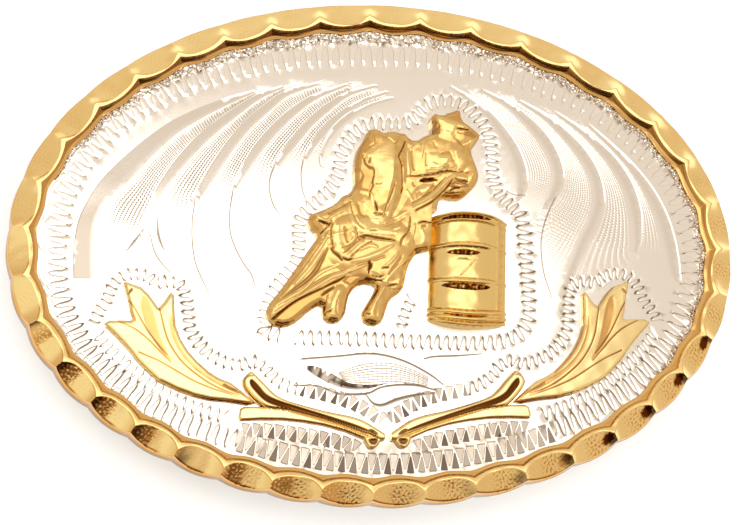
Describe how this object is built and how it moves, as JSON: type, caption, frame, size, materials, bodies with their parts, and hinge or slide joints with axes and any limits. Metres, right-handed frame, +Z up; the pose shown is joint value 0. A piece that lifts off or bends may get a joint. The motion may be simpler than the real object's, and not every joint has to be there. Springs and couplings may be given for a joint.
{
  "type": "oval belt buckle",
  "caption": "Oval bowed Western trophy buckle with a scalloped rim, engraved field, cast horse, rider and barrel relief, leaf sprays, and a belt loop and hook behind.",
  "frame": {"origin": "on the surface that the buckle lies on, below the middle of its oval", "axes": "+X along the oval's length to the right of its face, +Y to the top of its picture, +Z up out of its face"},
  "size_m": [0.0888, 0.0615, 0.0127],
  "materials": {
    "silver_plate": "bright silver plate, engraved",
    "gold_plate_rim": "polished gold plate over hand-struck scallops",
    "gold_plate_cast": "polished gold plate over a casting",
    "gold_plate_leaf": "polished gold plate over a stamping",
    "brass_wire": "drawn brass, plain"
  },
  "bodies": {
    "root": {"field_plate": "silver_plate", "scalloped_rim": "gold_plate_rim", "horse_and_rider": "gold_plate_cast", "barrel": "gold_plate_cast", "leaf_spray_left": "gold_plate_leaf", "leaf_spray_right": "gold_plate_leaf", "belt_loop": "brass_wire", "hook": "brass_wire"}
  },
  "joints": []
}
